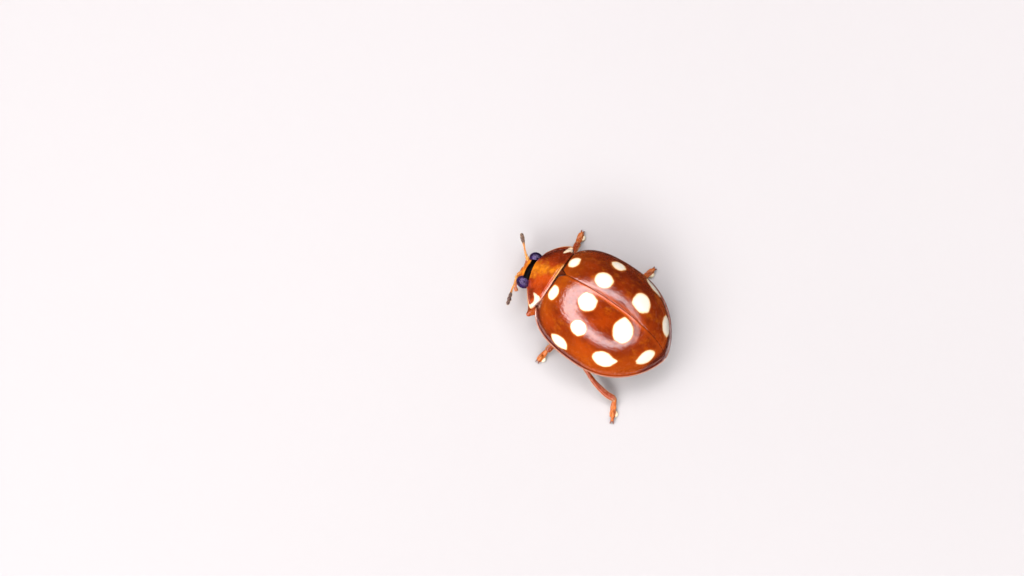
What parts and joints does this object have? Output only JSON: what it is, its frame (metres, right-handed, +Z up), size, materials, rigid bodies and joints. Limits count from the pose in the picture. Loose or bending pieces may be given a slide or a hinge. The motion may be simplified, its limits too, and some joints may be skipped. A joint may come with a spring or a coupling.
{
  "type": "ladybird beetle model",
  "caption": "Still life-size model of a cream-spotted orange-brown ladybird beetle standing on its feet, with domed wing cases, pronotum, head, feelers and legs.",
  "frame": {"origin": "on the floor, at the middle of the model's plan", "axes": "+Z up; the head points to -Y and the beetle's left is +X"},
  "size_m": [0.0052, 0.006, 0.0024],
  "materials": {
    "wing_case": "glossy orange-brown shell with cream spots",
    "pronotum": "glossy orange-brown shell with cream corners",
    "scutellum": "glossy dark orange-brown",
    "underside": "satin brown shell",
    "head": "glossy black crown and orange-brown face",
    "eye": "glossy faceted black",
    "mouthparts": "satin orange-brown",
    "feeler": "satin yellow-orange with dark clubs",
    "leg": "glossy orange-brown",
    "foot": "satin pale orange-brown"
  },
  "bodies": {
    "root": {"abdomen": "underside", "antenna_left": "feeler", "antenna_right": "feeler", "elytron_left": "wing_case", "elytron_right": "wing_case", "eye_left": "eye", "eye_right": "eye", "femur_front_left": "leg", "femur_front_right": "leg", "femur_hind_left": "leg", "femur_hind_right": "leg", "femur_middle_left": "leg", "femur_middle_right": "leg", "head": "head", "mouth": "mouthparts", "palp_left": "mouthparts", "palp_right": "mouthparts", "pronotum": "pronotum", "prothorax": "underside", "scutellum": "scutellum", "tarsus_front_left": "foot", "tarsus_front_right": "foot", "tarsus_hind_left": "foot", "tarsus_hind_right": "foot", "tarsus_middle_left": "foot", "tarsus_middle_right": "foot", "thorax": "underside", "tibia_front_left": "leg", "tibia_front_right": "leg", "tibia_hind_left": "leg", "tibia_hind_right": "leg", "tibia_middle_left": "leg", "tibia_middle_right": "leg"}
  },
  "joints": []
}
